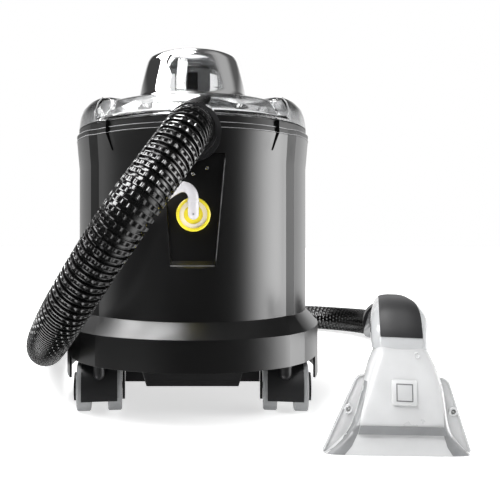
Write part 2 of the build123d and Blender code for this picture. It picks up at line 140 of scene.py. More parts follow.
MAT = {
    "body_black": plastic("casing_satin_black", (0.0032, 0.0032, 0.0034), 0.3, vary=0.06, bump=0.006, grain=900.0,
                          ior=1.75, patch=4.0),
    "trim_black": plastic("trim_matt_black", (0.014, 0.014, 0.015), 0.42, bump=0.08, grain=1100.0),
    "rocker_black": plastic("rocker_gloss_black", (0.01, 0.01, 0.01), 0.16, bump=0.01),
    "rubber_black": plastic("rubber_black", (0.008, 0.008, 0.008), 0.2, bump=0.03, grain=500.0, coat=0.4),
    "clear": glassy(plastic("clear_plastic", (0.97, 0.975, 0.98), 0.035, clear=1.0, ior=1.47, bump=0.008, tint=0.01),
                    0.02, start=0.7),
    "clear_dome": glassy(plastic("clear_dome_plastic", (0.97, 0.975, 0.98), 0.03, clear=1.0, ior=1.47, bump=0.008,
                                 tint=0.01), 0.12, start=0.5),
    "clear_side": glassy(plastic("clear_side_plastic", (0.66, 0.665, 0.67), 0.05, clear=1.0, ior=1.47, bump=0.02,
                                 grain=120.0, tint=0.3, patch=40.0), 0.0, start=0.2),
    "cage_grey": plastic("cage_smoky_clear", (0.5, 0.51, 0.52), 0.12, clear=0.72, bump=0.02, tint=0.08),
    "steel": plastic("screw_steel", (0.62, 0.62, 0.61), 0.28, metal=1.0, grain=300.0, bump=0.06, tint=0.05),
    "impeller_alloy": plastic("impeller_alloy", (0.7, 0.7, 0.72), 0.35, metal=1.0, bump=0.05, tint=0.05),
    "yellow": plastic("coupling_yellow", (0.86, 0.72, 0.04), 0.25, bump=0.02, tint=0.1),
    "cream": plastic("coupling_cream", (0.85, 0.78, 0.6), 0.3, bump=0.02, tint=0.06),
    "white": plastic("fitting_white", (0.66, 0.645, 0.67), 0.25, bump=0.015, tint=0.06, coat=0.3),
    "hose_black": plastic("hose_gloss_black", (0.004, 0.004, 0.004), 0.13, vary=0.4, bump=0.05, grain=350.0, ior=1.6,
                          coat=0.3, patch=30.0),
    # dead black with no gloss: at the rim's corner creases it is painted shade; it is also the bowl under the lid's
    # front
    "dead_black": plastic("dead_matt_black", (0.0015, 0.0015, 0.0015), 0.95, ior=1.02, bump=0.0),
    "bevel_black": plastic("bevel_black", (0.004, 0.004, 0.004), 0.4, ior=1.42, bump=0.01, patch=5.0),
    # pale grey: painted highlight, on the rim's lines and the lid's corner folds
    "rim_line": plastic("rim_painted_highlight", (0.3, 0.3, 0.305), 0.15, bump=0.02, tint=0.4, patch=30.0),
    "tread_grey": plastic("wheel_tread_grey", (0.26, 0.265, 0.27), 0.5, bump=0.1, grain=900.0, tint=0.12),
    "frosted": plastic("hood_frosted_clear", (0.62, 0.625, 0.63), 0.3, clear=0.12, bump=0.02, grain=260.0, tint=0.07,
                       patch=22.0, coat=0.15),
    # dark grey: painted shade on the hood's sloped flanks
    "flank": plastic("hood_flank_painted_shade", (0.27, 0.275, 0.28), 0.2, clear=0.1, bump=0.02, tint=0.25, patch=40.0),
    # dark grey: painted shade in the recess across the hood's mouth
    "mouth_shade": plastic("mouth_recess_painted_shade", (0.24, 0.245, 0.25), 0.3, clear=0.1, bump=0.02, tint=0.15, patch=30.0),
    "badge_face": plastic("badge_face", (0.5, 0.505, 0.51), 0.25, bump=0.02, tint=0.1, coat=0.5),
    # pale grey: painted highlight along the pocket's edges and the tub's joints
    "edge_highlight": plastic("edge_painted_highlight", (0.12, 0.12, 0.122), 0.25, bump=0.03, tint=0.5, patch=60.0, coat=0.5),
    "badge_grey": plastic("badge_grey", (0.16, 0.16, 0.165), 0.4, bump=0.05, tint=0.15),
    "grip_side": glassy(plastic("handle_pale_side", (0.62, 0.63, 0.64), 0.14, clear=0.25, bump=0.02, tint=0.06,
                                coat=0.6), 0.2),
    "grip_top": plastic("handle_dark_cover", (0.017, 0.017, 0.018), 0.5, bump=0.12, grain=1300.0),
}


# ---- mesh helpers ----
def add_mesh(name, verts, faces, mat, body="machine", angle=32.0):
    """A new piece riding on a body, smooth except at edges sharper than angle."""
    mesh = bpy.data.meshes.new(name)
    mesh.from_pydata([tuple(v) for v in verts], [], faces)
    mesh.validate()
    mesh.polygons.foreach_set("use_smooth", [True] * len(mesh.polygons))
    mesh.set_sharp_from_angle(angle=radians(angle))
    obj = bpy.data.objects.new(name, mesh)
    bpy.context.scene.collection.objects.link(obj)
    obj.data.materials.append(mat)
    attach(obj, body)
    return obj


def strip_faces(rows, cols, close_rows=False, close_cols=True):
    """Quads between rows of cols points each."""
    faces = []
    for i in range(rows if close_rows else rows - 1):
        for j in range(cols if close_cols else cols - 1):
            a = i * cols + j
            b = i * cols + (j + 1) % cols
            c = ((i + 1) % rows) * cols + (j + 1) % cols
            d = ((i + 1) % rows) * cols + j
            faces.append((a, b, c, d))
    return faces


def slab_faces(n):
    """Faces of a plate whose n front points come first and whose n back points follow."""
    faces = [tuple(reversed(range(n))), tuple(range(n, 2 * n))]
    return faces + [(i, (i + 1) % n, n + (i + 1) % n, n + i) for i in range(n)]


def shell_faces(rows, cols):
    """Faces of an open sheet with thickness: rows of cols outer points, then the same of inner points."""
    inner = rows * cols
    faces = strip_faces(rows, cols, close_cols=False)
    faces += [tuple(inner + v for v in reversed(f)) for f in faces]
    last = (rows - 1) * cols
    for j in range(cols - 1):
        faces.append((j + 1, j, inner + j, inner + j + 1))
        faces.append((last + j, last + j + 1, inner + last + j + 1, inner + last + j))
    for i in range(rows - 1):
        a, b = i * cols, (i + 1) * cols
        faces.append((a, b, inner + b, inner + a))
        a, b = a + cols - 1, b + cols - 1
        faces.append((b, a, inner + a, inner + b))
    return faces


def squared(share, power):
    """A cosine or sine pushed towards a rounded square: the higher the power, the squarer."""
    return (1 if share > 0 else -1) * abs(share) ** (2 / power)


def lathe(profile, turns):
    """Closed ring from a closed profile of (radius, z) in metres."""
    verts = []
    for i in range(turns):
        a = 2 * pi * i / turns
        for r, z in profile:
            verts.append((r * sin(a), -r * cos(a), z))
    return verts, strip_faces(turns, len(profile), close_rows=True)


def shaped(obj):
    """Applies an object's modifiers to its mesh."""
    graph = bpy.context.evaluated_depsgraph_get()
    mesh = bpy.data.meshes.new_from_object(obj.evaluated_get(graph))
    obj.modifiers.clear()
    old = obj.data
    obj.data = mesh
    bpy.data.meshes.remove(old)
    return obj


def cut(obj, verts, faces):
    """Takes a closed solid out of a piece."""
    mesh = bpy.data.meshes.new("cutter")
    mesh.from_pydata([tuple(v) for v in verts], [], faces)
    tool = bpy.data.objects.new("cutter", mesh)
    bpy.context.scene.collection.objects.link(tool)
    mod = obj.modifiers.new("cut", "BOOLEAN")
    mod.operation = "DIFFERENCE"
    mod.solver = "EXACT"
    mod.object = tool
    shaped(obj)
    bpy.data.objects.remove(tool)
    bpy.data.meshes.remove(mesh)
    obj.data.set_sharp_from_angle(angle=radians(32))
    return obj


def circle_xz(x, z, radius, count):
    return [(x + radius * cos(2 * pi * k / count), z + radius * sin(2 * pi * k / count)) for k in range(count)]


def prism_y(outline, y0, y1):
    """Closed solid between two copies of an (x, z) outline."""
    n = len(outline)
    verts = [(x, y0, z) for x, z in outline] + [(x, y1, z) for x, z in outline]
    faces = [tuple(range(n)), tuple(range(2 * n - 1, n - 1, -1))]
    faces += [(i, n + i, n + (i + 1) % n, (i + 1) % n) for i in range(n)]
    return verts, faces


# ---- camera ----
LENS_DISTANCE = 0.8416
LENS_HEIGHT = 0.2258
cam_data = bpy.data.cameras.new("view")
cam_data.sensor_width = 36.0
cam_data.lens = 43.2
cam_data.shift_x = 0.115
cam_data.shift_y = -0.044
camera = bpy.data.objects.new("view", cam_data)
camera.location = (0.0, -LENS_DISTANCE, LENS_HEIGHT)
camera.rotation_euler = (radians(90), 0.0, 0.0)
bpy.context.scene.collection.objects.link(camera)
bpy.context.scene.camera = camera


# ---- cords ----
def spline_line(points, name):
    """The smooth line of a cord's route, a NURBS spline with the route's points as its control points."""
    curve = bpy.data.curves.new(name, "CURVE")
    curve.dimensions = "3D"
    curve.resolution_u = 40
    spline = curve.splines.new("NURBS")
    spline.points.add(len(points) - 1)
    for knot, p in zip(spline.points, points):
        knot.co = (*p, 1.0)
    spline.order_u = 3
    spline.use_endpoint_u = True
    obj = bpy.data.objects.new(name, curve)
    bpy.context.scene.collection.objects.link(obj)
    mesh = bpy.data.meshes.new_from_object(obj)
    line = [v.co.copy() for v in mesh.vertices]
    bpy.data.meshes.remove(mesh)
    bpy.data.objects.remove(obj)
    bpy.data.curves.remove(curve)
    return line


class Route:
    """A line that can be read at any distance along it."""

    def __init__(self, line):
        self.line = line
        self.at = [0.0]
        for a, b in zip(line, line[1:]):
            self.at.append(self.at[-1] + (b - a).length)
        self.length = self.at[-1]
        self.index = 0

    def point(self, s):
        s = min(max(s, 0.0), self.length)
        if self.at[self.index] > s:
            self.index = 0
        while self.index < len(self.at) - 2 and self.at[self.index + 1] < s:
            self.index += 1
        span = self.at[self.index + 1] - self.at[self.index]
        t = (s - self.at[self.index]) / span if span else 0.0
        return self.line[self.index].lerp(self.line[self.index + 1], t)

    def heading(self, s, step=0.003):
        return (self.point(s + step) - self.point(s - step)).normalized()


def tube(route, stations, radius, sides, first_up=(0.0, 0.0, 1.0)):
    """Rings of points about the route: radius(k, j) for station number k and side j."""
    verts = []
    up = Vector(first_up)
    for k, s in enumerate(stations):
        ahead = route.heading(s)
        up = (up - ahead * up.dot(ahead)).normalized()
        side = ahead.cross(up)
        here = route.point(s)
        for j in range(sides):
            a = 2 * pi * j / sides
            verts.append(here + (side * cos(a) + up * sin(a)) * radius(k, j))
    return verts


def capped_tube(route, stations, radius, sides, first_up=(0.0, 0.0, 1.0)):
    """A tube's points and faces, closed at both ends."""
    verts = tube(route, stations, radius, sides, first_up)
    faces = strip_faces(len(stations), sides)
    faces.append(tuple(range(sides)))
    faces.append(tuple(range(len(verts) - 1, len(verts) - 1 - sides, -1)))
    return verts, faces


# the tool's own frame on the floor: its mouth, its right and its back
TOOL_AT = Vector((0.2043, -0.2396, 0.0))
TOOL_RIGHT = Vector((0.9659, -0.2588, 0.0))
TOOL_BACK = Vector((0.2588, 0.9659, 0.0))
CUFF_U = 0.254
HOSE_END_Z = 0.092


def on_tool(w, u, z):
    """A point w to the tool's right, u behind its mouth and z up."""
    return TOOL_AT + TOOL_RIGHT * w + TOOL_BACK * u + Vector((0.0, 0.0, z))


HOSE_ROUTE = [
    (0.0, -0.165, 0.335),
    (0.0, -0.215, 0.335),
    (-0.018, -0.252, 0.303),
    (-0.073, -0.276, 0.224),
    (-0.161, -0.189, 0.099),
    (-0.237, 0.140, 0.027),
    (-0.264, 0.440, 0.026),
    (-0.120, 0.560, 0.026),
    (0.130, 0.560, 0.026),
    (0.340, 0.470, 0.027),
    (0.378, 0.300, 0.040),
    (0.360, 0.180, 0.058),
    tuple(on_tool(0.0, CUFF_U + 0.1, HOSE_END_Z)),
    tuple(on_tool(0.0, CUFF_U, HOSE_END_Z)),
]


RIB_PITCH = 0.0092
RIB_R, WINDOW_R, GROOVE_R = 25.0, 23.6, 21.8


def make_hose():
    """The suction hose: ribs with small windows between bars, and a groove after each rib."""
    route = Route(spline_line(HOSE_ROUTE, "hose_line"))
    ribs = int(route.length / RIB_PITCH)
    pitch = route.length / ribs
    sides = 96
    cell = 4
    # part of a pitch, radius of the bars, radius between them
    rows = [(0.0, RIB_R, RIB_R), (0.09, RIB_R, RIB_R), (0.13, RIB_R, WINDOW_R), (0.47, RIB_R, WINDOW_R),
            (0.51, RIB_R, RIB_R), (0.60, RIB_R, RIB_R), (0.65, GROOVE_R, GROOVE_R), (0.95, GROOVE_R, GROOVE_R)]
    stations = []
    kinds = []
    for i in range(ribs):
        for part, bar, window in rows:
            stations.append((i + part) * pitch)
            kinds.append((i, bar * MM, window * MM))
    stations.append(route.length)
    kinds.append((ribs, GROOVE_R * MM, GROOVE_R * MM))

    def radius(k, j):
        i, bar, window = kinds[k]
        return bar if (j + 2 * (i % 2)) % cell == 0 else window

    verts, faces = capped_tube(route, stations, radius, sides)
    hose = add_mesh("ribbed_hose", verts, faces, MAT["hose_black"], angle=40.0)
    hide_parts("suction_hose")


TUBE_D = 0.012
TUBE_ROUTE = [
    (0.001, -0.165, 0.258),
    (0.001, -0.165, 0.267),
    (-0.012, -0.166, 0.275),
    (-0.036, -0.165, 0.258),
    (-0.062, -0.163, 0.238),
]


def make_solution_tube():
    """The white tube from the coupling, and the dark joiner at its end."""
    route = Route(spline_line(TUBE_ROUTE, "tube_line"))
    count = 40
    sides = 24
    stations = [route.length * i / (count - 1) for i in range(count)]
    verts, faces = capped_tube(route, stations, lambda k, j: TUBE_D / 2, sides, first_up=(0.0, 1.0, 0.0))
    line = add_mesh("solution_line", verts, faces, MAT["white"])
    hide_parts("solution_tube")
    ahead = route.heading(route.length)
    end = Route([route.point(route.length), route.point(route.length) + ahead * 0.016])
    marks = [0.0, 0.001, 0.008, 0.009, 0.0155, 0.016]
    sizes = [6.2, 7.2, 7.2, 5.8, 5.8, 4.0]
    verts, faces = capped_tube(end, marks, lambda k, j: sizes[k] * MM, sides, first_up=(0.0, 1.0, 0.0))
    joiner = add_mesh("tube_joiner", verts, faces, MAT["trim_black"])


def make_elbow():
    """Short white elbow standing on the coupling's face, with a round foot."""
    foot = Vector((TUBE_ROUTE[0][0], TUBE_ROUTE[0][1], COUPLE_Z))
    top = TUBE_ROUTE[0][2]
    sides = 24
    radius = 0.0062
    lip = radius + 0.0004
    round_foot = [(pi / 2) * k / 6 - pi / 2 for k in range(7)]
    rings = [(foot.z + radius * sin(a), max(0.0002, radius * cos(a))) for a in round_foot]
    rings += [(top - 0.004, radius), (top - 0.0036, lip), (top, lip)]
    verts = []
    for z, r in rings:
        verts += [(foot.x + r * cos(2 * pi * j / sides), foot.y + r * sin(2 * pi * j / sides), z)
                  for j in range(sides)]
    faces = strip_faces(len(rings), sides)
    faces.append(tuple(reversed(range(sides))))
    faces.append(tuple(range(len(verts) - sides, len(verts))))
    elbow = add_mesh("elbow", verts, faces, MAT["white"])
    # the stub behind it goes into the coupling
    verts, faces = prism_y(circle_xz(foot.x, foot.z, 0.0044, 24), -0.165, -0.147)
    add_mesh("elbow_stub", verts, faces, MAT["white"])
    verts, faces = prism_y(circle_xz(foot.x, foot.z, 0.0012, 16), foot.y - 0.0064, foot.y - 0.004)
    add_mesh("elbow_eye", verts, faces, MAT["tread_grey"])
    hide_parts("elbow_fitting")


make_hose()
make_solution_tube()
make_elbow()

# ---- clear lid and dome ----
LID_TURNS = 288
LID_CORNERS = (50.6, 129.4, 230.6, 309.4)
# profiles of (radius, z) in millimetres: outside from the foot to the seat of the dome, then back inside
LID_FRONT = [(156.0, 357.3), (156.0, 359.6), (152.5, 360.4), (146.0, 366.0), (139.5, 374.5), (132.0, 385.2),
             (127.0, 387.4), (104.0, 390.3), (81.0, 393.0), (78.2, 393.0), (78.2, 389.6), (104.0, 387.4),
             (126.0, 384.6), (129.4, 383.0), (136.8, 373.0), (143.6, 364.0), (150.6, 357.3)]
LID_SIDE = [(156.0, 357.3), (156.0, 359.6), (155.6, 363.0), (154.4, 372.0), (151.2, 381.6), (145.0, 388.6),
            (134.0, 391.0), (106.0, 391.6), (81.0, 393.0), (78.2, 393.0), (78.2, 389.6), (106.0, 388.4),
            (133.2, 388.2), (143.4, 386.0), (148.8, 380.0), (151.4, 371.2), (151.6, 357.3)]


def side_share(angle, start=48.0, stop=51.5):
    """0 over the front and back panels, 1 over the side panels, from the angle off the front."""
    a = abs((angle + 180.0) % 360.0 - 180.0)
    a = min(a, 180.0 - a)
    t = min(1.0, max(0.0, (a - start) / (stop - start)))
    return t


def make_lid():
    """The clear lid, arched over the hose flange, with a pale line of painted highlight along the fold at each
    corner.
    """
    verts = []
    for i in range(LID_TURNS):
        deg = 360.0 * i / LID_TURNS
        a = radians(deg)
        t = side_share(deg)
        for (r0, z0), (r1, z1) in zip(LID_FRONT, LID_SIDE):
            r = (r0 + (r1 - r0) * t) * MM
            z = (z0 + (z1 - z0) * t) * MM
            verts.append((r * sin(a), -r * cos(a), z))
    lid = add_mesh("clear_lid", verts, strip_faces(LID_TURNS, len(LID_FRONT), close_rows=True), MAT["clear"],
                   body="lid", angle=24.0)
    lid.data.materials.append(MAT["clear_side"])
    for face in lid.data.polygons:
        turn = face.index // len(LID_FRONT)
        if 0.5 < side_share(360.0 * (turn + 0.5) / LID_TURNS):
            face.material_index = 1
    arch_r = FLANGE_R + 0.0016
    steps = 40
    arch = [(arch_r * cos(pi * k / steps), INLET_Z + arch_r * sin(pi * k / steps)) for k in range(steps + 1)]
    arch += [(-arch_r, INLET_Z - 0.02), (arch_r, INLET_Z - 0.02)]
    verts, faces = prism_y(arch, -0.19, -0.10)
    cut(lid, verts, faces)
    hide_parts("tank_lid")
    # a pale tube along each corner fold: painted highlight
    for number, deg in enumerate(LID_CORNERS):
        a = radians(deg)
        shape = [(r + 0.2, z + 0.2) for r, z in LID_SIDE[1:6]]
        line = [Vector((r * MM * sin(a), -r * MM * cos(a), z * MM)) for r, z in shape]
        route = Route(line)
        count = 40
        marks = [route.length * i / (count - 1) for i in range(count)]
        verts, faces = capped_tube(route, marks, lambda k, j: 0.0009, 10)
        add_mesh("lid_fold_%d" % number, verts, faces, MAT["rim_line"], body="lid")


def make_dome():
    """The clear dome over the lid's opening."""
    wall = 2.4
    outer = [(79.0, 394.8), (79.0, 397.0), (76.4, 399.5), (74.9, 407.0), (72.8, 419.0), (70.0, 431.0),
             (67.0, 443.0), (64.4, 452.0), (62.4, 457.6), (58.0, 460.6), (48.0, 463.8), (34.0, 467.4),
             (18.0, 469.8), (0.0, 470.6)]
    inner = [(0.0, 470.6 - wall), (18.0, 469.8 - wall), (33.4, 465.0), (46.6, 461.6), (55.6, 458.6),
             (59.6, 456.4), (61.8, 451.4), (64.6, 442.2), (67.6, 430.4), (70.4, 418.4), (72.4, 406.4),
             (73.8, 399.6), (73.8, 394.8)]
    profile = [(r * MM, z * MM) for r, z in outer + inner]
    verts, faces = lathe(profile, 160)
    dome = add_mesh("clear_dome", verts, faces, MAT["clear_dome"], body="dome_cover", angle=40.0)
    weld = dome.modifiers.new("weld", "WELD")
    weld.merge_threshold = 0.00001
    shaped(dome)
    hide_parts("dome")


make_lid()
make_dome()

# ---- black duct seen through the dome ----
DUCT_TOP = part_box("inlet_duct")[1][2]


def rounded_box_ring(half_w, half_d, z, count, center_y, power=5.0):
    """Level ring of points shaped as a box with round corners."""
    ring = []
    for j in range(count):
        a = 2 * pi * j / count
        ring.append((half_w * squared(cos(a), power), center_y + half_d * squared(sin(a), power), z))
    return ring


def make_duct():
    """The pipe from the flange, the hood that it ends in under the dome, and the bowl under the lid's front."""
    count = 64
    mid = -0.040
    rows = [(10, 7, 374.0), (13, 9, 378.0), (18, 10.5, 383.0), (22, 11, 388.0), (24, 11, 394.0), (24, 11, 400.0),
            (24, 11, 436.0), (23.4, 10.6, 440.0), (21.5, 9.0, 441.8), (0.01, 0.01, 442.0)]
    verts = []
    for half_w, half_d, z in rows:
        verts += rounded_box_ring(half_w * MM, half_d * MM, min(z * MM, DUCT_TOP), count, mid)
    faces = strip_faces(len(rows), count)
    faces.append(tuple(reversed(range(count))))
    duct = add_mesh("inlet_hood", verts, faces, MAT["rocker_black"], angle=45.0)
    verts, faces = prism_y(circle_xz(0.0, INLET_Z, 0.024, 48), -0.163, mid)
    add_mesh("inlet_pipe", verts, faces, MAT["trim_black"])
    neck = rounded_box_ring(0.010, 0.007, 0.374, 32, mid) + rounded_box_ring(0.010, 0.007, 0.335, 32, mid)
    add_mesh("inlet_neck", neck, strip_faces(2, 32), MAT["trim_black"])
    rows = [(5.0, 4.0, 369.5), (13.0, 8.0, 372.0), (19.0, 10.0, 377.0), (22.0, 11.0, 383.0), (22.5, 11.0, 385.6)]
    verts = []
    for half_w, half_d, z in rows:
        verts += rounded_box_ring(half_w * MM, half_d * MM, z * MM, count, -0.107, power=3.0)
    faces = strip_faces(len(rows), count)
    faces.append(tuple(reversed(range(count))))
    faces.append(tuple(range((len(rows) - 1) * count, len(rows) * count)))
    add_mesh("inlet_bowl", verts, faces, MAT["dead_black"], angle=45.0)
    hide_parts("inlet_duct")


make_duct()

# ---- upholstery tool ----
LEAN = 0.466                 # how far back the hood leans for each unit of height
MOUTH_TURN = radians(13.0)
MOUTH_TURN_ENDS = 0.105      # height where the mouth's turn has died out
HANDLE_SHIFT = 0.0085
SHIFT_FULL_Z = 0.06
SHIFT_ENDS_U = 0.25


def on_nozzle(w, u, z):
    """As on_tool, with the mouth turned a little towards the front and the grip eased to the right."""
    share = max(0.0, 1.0 - z / MOUTH_TURN_ENDS)
    turn = MOUTH_TURN * share * share * (3 - 2 * share)
    middle = LEAN * z if z < MOUTH_TURN_ENDS else 0.0
    c, d = cos(turn), sin(turn)
    w, u = w * c - (u - middle) * d, middle + w * d + (u - middle) * c
    ease = min(1.0, z / SHIFT_FULL_Z) * max(0.0, 1.0 - u / SHIFT_ENDS_U)
    return on_tool(w + HANDLE_SHIFT * ease, u, z)


HOOD_POWER = 4.2
# half width, depth and height of the hood's sections, in millimetres
HOOD_ROWS = [(72.5, 8.5, 0.0), (67.0, 8.5, 4.0), (61.0, 8.5, 9.0), (55.0, 8.8, 15.0), (51.5, 9.0, 19.5),
             (48.5, 11.5, 25.0), (46.6, 12.0, 31.0), (44.0, 12.6, 42.0), (41.0, 13.4, 55.0), (37.8, 14.4, 69.0),
             (33.4, 15.4, 82.0), (28.4, 16.0, 93.0), (25.6, 16.8, 100.0), (24.0, 18.0, 106.5), (23.0, 18.6, 112.0),
             (22.2, 18.2, 115.0)]


def on_lean(w, u, z):
    """A point u behind the hood's leaning plane, from millimetres."""
    return on_nozzle(w * MM, (LEAN * z + u) * MM, z * MM)


def half_ring(half_w, depth, z, count, side):
    """Front (side -1) or rear (side 1) half of a hood section, from left to right."""
    points = []
    for j in range(count):
        a = pi - pi * j / (count - 1)
        points.append(on_lean(half_w * squared(cos(a), HOOD_POWER),
                              side * depth * abs(sin(a)) ** (2 / HOOD_POWER), z))
    return points


def hood_half(name, side, wall, node):
    """One half of the nozzle's hood, with its wall."""
    count = 48
    rows = []
    for k in range(len(HOOD_ROWS) - 1):
        r0, r1 = HOOD_ROWS[k], HOOD_ROWS[k + 1]
        for part in (0.0, 0.5):
            rows.append([a + (b - a) * part for a, b in zip(r0, r1)])
    rows.append(HOOD_ROWS[-1])
    verts = []
    for half_w, depth, z in rows:
        verts += half_ring(half_w, depth, z, count, side)
    for half_w, depth, z in rows:
        verts += half_ring(half_w - wall, depth - wall, z, count, side)
    hood = add_mesh(name, verts, shell_faces(len(rows), count), MAT["frosted"], angle=40.0)
    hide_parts(node)


def plate_on_lean(name, outline, u0, u1, mat, bevel=0.0006):
    """Flat piece in the hood's leaning plane: outline of (w, z), from u0 to u1 behind the plane."""
    verts = [on_lean(w, u, z) for u in (u0, u1) for w, z in outline]
    plate = add_mesh(name, verts, slab_faces(len(outline)), mat)
    round_edges(plate, bevel)
    return plate


def round_edges(obj, width, angle=30.0):
    """Small radii on a piece's edges."""
    mod = obj.modifiers.new("bevel", "BEVEL")
    mod.width = width
    mod.segments = 2
    mod.limit_method = "ANGLE"
    mod.angle_limit = radians(angle)
    shaped(obj)
    obj.data.polygons.foreach_set("use_smooth", [True] * len(obj.data.polygons))
    obj.data.set_sharp_from_angle(angle=radians(angle))
    return obj


def mirrored(points):
    """A whole outline from its left half."""
    return points + [(-w, z) for w, z in reversed(points)]


def sided(points, sign):
    """The outline as it is (sign 1) or on the other side (sign -1), turning the same way."""
    return points if sign > 0 else [(-w, z) for w, z in reversed(points)]


def hood_depth(w, z):
    """How far the hood's front stands out from the leaning plane at (w, z), in millimetres."""
    for r0, r1 in zip(HOOD_ROWS, HOOD_ROWS[1:]):
        if r0[2] <= z <= r1[2]:
            t = (z - r0[2]) / (r1[2] - r0[2])
            half_w, depth = r0[0] + (r1[0] - r0[0]) * t, r0[1] + (r1[1] - r0[1]) * t
            share = min(0.999, abs(w) / half_w)
            return depth * (1 - share ** HOOD_POWER) ** (1 / HOOD_POWER)
    return HOOD_ROWS[-1][1]


def flank_shade_sheet(inner, outer, tag):
    """Thin dark sheet of painted shade on the hood's flaring flank, between two edges that both run down."""
    rows = 24
    cols = 8

    def along(points, t):
        x = t * (len(points) - 1)
        i = min(int(x), len(points) - 2)
        f = x - i
        return [a + (b - a) * f for a, b in zip(points[i], points[i + 1])]

    verts = []
    for i in range(rows + 1):
        a, b = along(inner, i / rows), along(outer, i / rows)
        for j in range(cols + 1):
            w = a[0] + (b[0] - a[0]) * j / cols
            z = a[1] + (b[1] - a[1]) * j / cols
            verts.append(on_lean(w, -hood_depth(w, z) - 0.35, z))
    faces = strip_faces(rows + 1, cols + 1, close_cols=False)
    add_mesh("hood_flank_shade_" + tag, verts, faces, MAT["flank"], angle=50.0)


def ring_of(at, name, outer, inner, u0, u1, mat):
    """Small round boss on the leaning plane."""
    w0, z0 = at
    verts = []
    count = 32
    for radius, u in ((outer, u1), (outer, u0 + 0.4), (outer - 0.4, u0), (inner, u0), (inner * 0.8, u0 + 0.6)):
        for k in range(count):
            a = 2 * pi * k / count
            verts.append(on_lean(w0 + radius * cos(a), u, z0 + radius * sin(a)))
    faces = strip_faces(5, count)
    faces.append(tuple(range(4 * count, 5 * count)))
    faces.append(tuple(reversed(range(count))))
    return add_mesh(name, verts, faces, mat)


# outlines of (w, z) on the tool's left, in millimetres
WING = [(-73.0, 0.6), (-73.2, 3.0), (-47.0, 66.0), (-44.0, 69.0), (-36.0, 71.0), (-39.0, 60.0), (-42.5, 46.0),
        (-46.0, 30.0), (-51.0, 18.0), (-59.0, 9.0), (-66.0, 3.5)]
WING_RIM = [(-73.2, 3.0), (-47.0, 66.0), (-44.0, 69.0), (-36.0, 71.0), (-36.4, 69.4), (-43.2, 67.6), (-45.6, 65.2),
            (-71.4, 3.2)]
SCREW_AT = (-52.5, 38.5)
# edges of the dark sheets of painted shade on the hood's flanks
FLARE_INNER = [(-36.0, 66.0), (-38.5, 52.0), (-40.5, 40.0), (-41.5, 30.0), (-42.0, 20.0), (-47.0, 8.0),
               (-53.0, 0.6)]
FLARE_OUTER = [(-38.4, 66.0), (-41.6, 52.0), (-45.2, 36.0), (-48.4, 26.0), (-51.8, 19.2), (-56.5, 12.8),
               (-63.0, 6.5), (-71.5, 0.6)]


def make_hood():
    """The nozzle: two hood halves, wings with their screws, dark sheets of painted shade on the flares, a band of
    painted shade at the mouth and the bare badge.
    """
    hood_half("hood_front", -1, 2.2, "tool_hood_front")
    hood_half("hood_rear", 1, 2.2, "tool_hood_rear")
    sides = (("left", 1.0), ("right", -1.0))
    for tag, sign in sides:
        plate_on_lean("wing_" + tag, sided(WING, sign), 0.2, 2.8, MAT["frosted"])
        plate_on_lean("wing_rim_" + tag, sided(WING_RIM, sign), -1.6, 0.2, MAT["frosted"], bevel=0.0003)
        screw_at = (sign * SCREW_AT[0], SCREW_AT[1])
        ring_of(screw_at, "screw_boss_" + tag, 4.4, 2.6, -2.2, 0.2, MAT["frosted"])
        screw = ring_of(screw_at, "hood_screw_" + tag, 2.7, 0.9, -1.8, 0.2, MAT["steel"])
        if sign > 0:
            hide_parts("tool_screws")
    for tag, sign in sides:
        # dark sheets of painted shade on both flanks
        flank_shade_sheet([(sign * w, z) for w, z in FLARE_INNER], [(sign * w, z) for w, z in FLARE_OUTER], tag)
    # a dark plate across the mouth: painted shade in its recess
    band = mirrored([(-43.0, 19.5), (-41.5, 27.0)])
    plate_on_lean("mouth_recess_shade", band, -13.0, -12.2, MAT["mouth_shade"], bevel=0.0002)
    pad = mirrored([(-11.0, 46.5), (-12.5, 48.0), (-12.5, 68.5), (-11.0, 70.0)])
    badge = plate_on_lean("badge_frame", pad, -16.4, -13.0, MAT["frosted"], bevel=0.0008)
    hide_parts("tool_badge_pad")
    inner = mirrored([(-8.2, 50.1), (-8.2, 66.5)])
    plate_on_lean("badge_edge", inner, -17.0, -16.2, MAT["badge_grey"], bevel=0.0003)
    inner = mirrored([(-7.1, 51.2), (-7.1, 65.4)])
    plate_on_lean("badge_pad", inner, -17.5, -16.8, MAT["badge_face"], bevel=0.0003)
    jet = ring_of((15.0, 93.5), "spray_mark", 3.2, 2.2, -16.6, -14.5, MAT["frosted"])
    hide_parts("spray_jet")


# the handle's sections: u, z, tilt in degrees, half width, half height
SPINE = [(45.0, 97.0, 0.0, 29.0, 15.5), (47.5, 105.0, 8.0, 30.0, 18.0), (54.0, 113.5, 30.0, 30.0, 20.0),
         (66.0, 120.5, 56.0, 29.6, 21.0), (86.0, 123.8, 82.0, 27.5, 20.8), (112.0, 124.6, 92.0, 24.6, 20.2),
         (138.5, 124.0, 95.0, 22.5, 20.0), (165.0, 119.8, 101.0, 20.4, 19.0), (190.0, 113.0, 105.0, 19.0, 18.0),
         (212.0, 104.8, 108.0, 18.8, 18.0), (230.0, 98.0, 103.0, 19.6, 18.8), (250.0, 92.6, 92.0, 22.0, 22.0)]


def spine_at(t):
    """Section of the handle at t from 0 to 1, on a smooth line through the spine's rows."""
    x = t * (len(SPINE) - 1)
    i = min(int(x), len(SPINE) - 2)
    f = x - i
    p0, p1, p2, p3 = SPINE[max(i - 1, 0)], SPINE[i], SPINE[i + 1], SPINE[min(i + 2, len(SPINE) - 1)]
    return [0.5 * (2 * b + (c - a) * f + (2 * a - 5 * b + 4 * c - d) * f * f + (3 * b - a - 3 * c + d) * f ** 3)
            for a, b, c, d in zip(p0, p1, p2, p3)]


